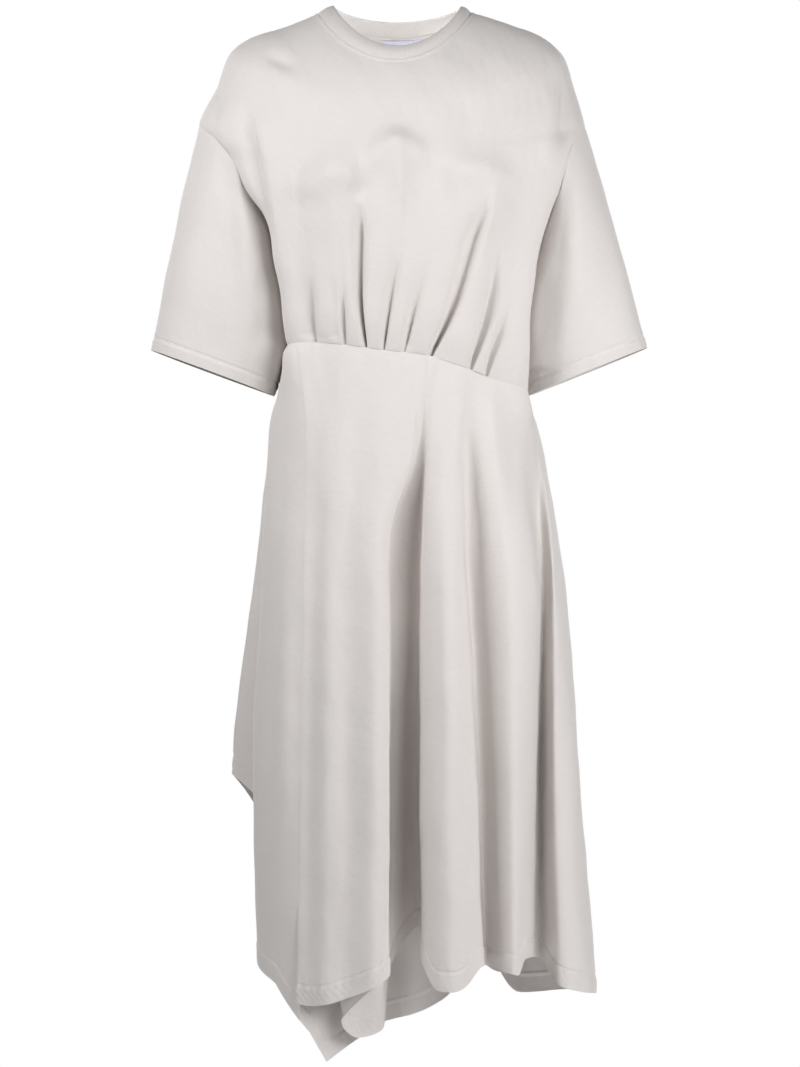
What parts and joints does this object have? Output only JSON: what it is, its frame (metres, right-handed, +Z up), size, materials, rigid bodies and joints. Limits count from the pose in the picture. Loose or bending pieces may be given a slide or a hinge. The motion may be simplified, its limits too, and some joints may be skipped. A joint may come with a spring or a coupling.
{
  "type": "t-shirt dress",
  "caption": "Short-sleeved jersey t-shirt dress, worn hollow: loose tee bodice with soft pleats at a slanted waist seam over a draped skirt with an uneven pointed hem.",
  "frame": {"origin": "the middle between the two neck points, where the wearer's shoulders carry the dress", "axes": "+Z up, the front faces -Y, the wearer's left side is +X"},
  "size_m": [0.595, 0.3418, 1.254],
  "materials": {
    "jersey": "matt single jersey, pale warm stone",
    "rib": "fine rib knit in the same pale stone",
    "label": "bare lavender satin ribbon"
  },
  "bodies": {
    "root": {"bodice_front": "jersey", "bodice_back": "jersey", "sleeve_right": "jersey", "sleeve_left": "jersey", "skirt_front": "jersey", "skirt_back": "jersey", "skirt_drape": "jersey", "collar": "rib", "neck_label": "label"}
  },
  "joints": []
}
